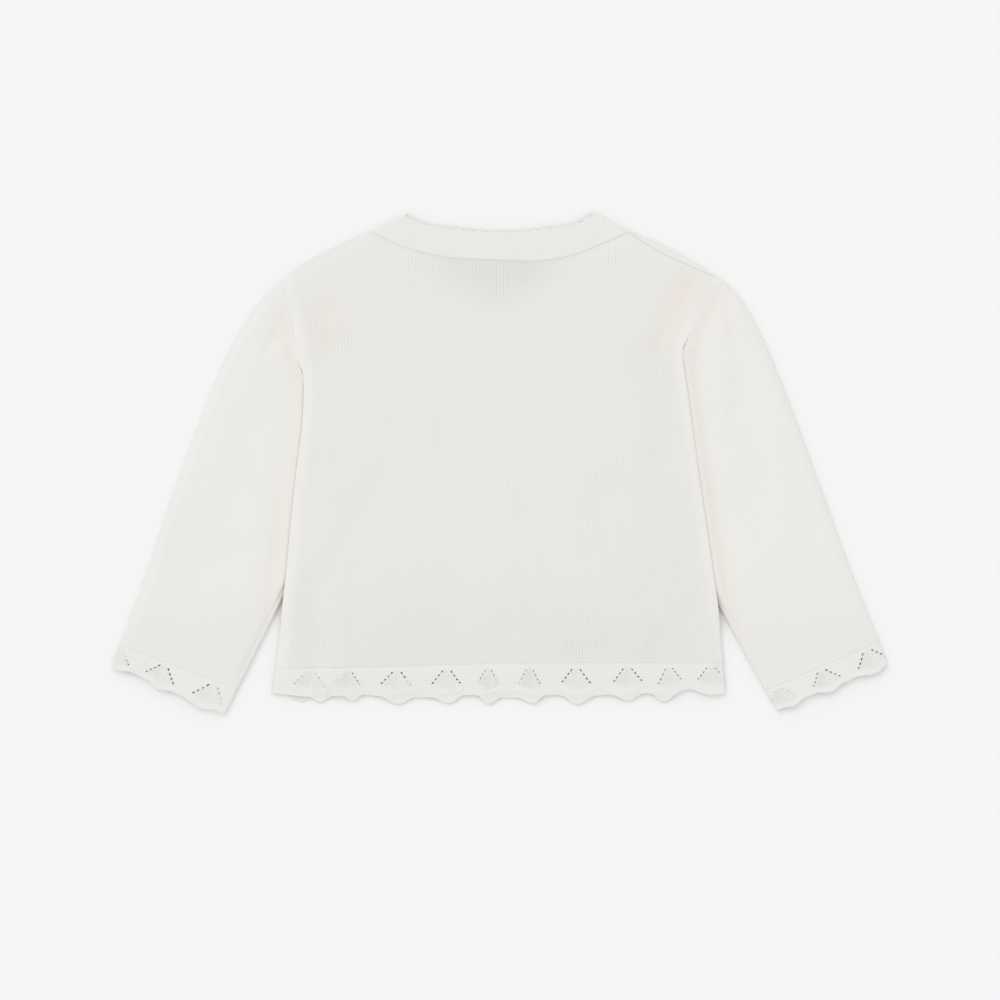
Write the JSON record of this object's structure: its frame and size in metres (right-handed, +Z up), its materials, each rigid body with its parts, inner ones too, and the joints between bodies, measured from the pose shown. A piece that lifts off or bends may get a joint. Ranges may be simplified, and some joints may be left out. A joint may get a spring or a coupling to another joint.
{
  "type": "bolero",
  "caption": "Baby's knitted bolero laid flat with its back up: plain body and long sleeves, a neckband and scalloped openwork lace borders.",
  "frame": {"origin": "middle of the garment's bounding box, on the surface it lies on", "axes": "+X across the body towards the wearer's right sleeve, +Y from the hem towards the neck, +Z up out of the surface, through the back panel"},
  "size_m": [0.4655, 0.301, 0.0071],
  "materials": {
    "plain_knit": "matte cotton stocking stitch, off-white",
    "neckband_knit": "matte double-layer cotton knit, off-white",
    "lace_knit": "matte openwork cotton knit, off-white"
  },
  "bodies": {
    "root": {"back": "plain_knit", "front_left": "plain_knit", "front_right": "plain_knit", "sleeve_left": "plain_knit", "sleeve_right": "plain_knit", "neckband": "neckband_knit", "hem_back": "lace_knit", "hem_front_left": "lace_knit", "hem_front_right": "lace_knit", "cuff_left": "lace_knit", "cuff_right": "lace_knit"}
  },
  "joints": []
}
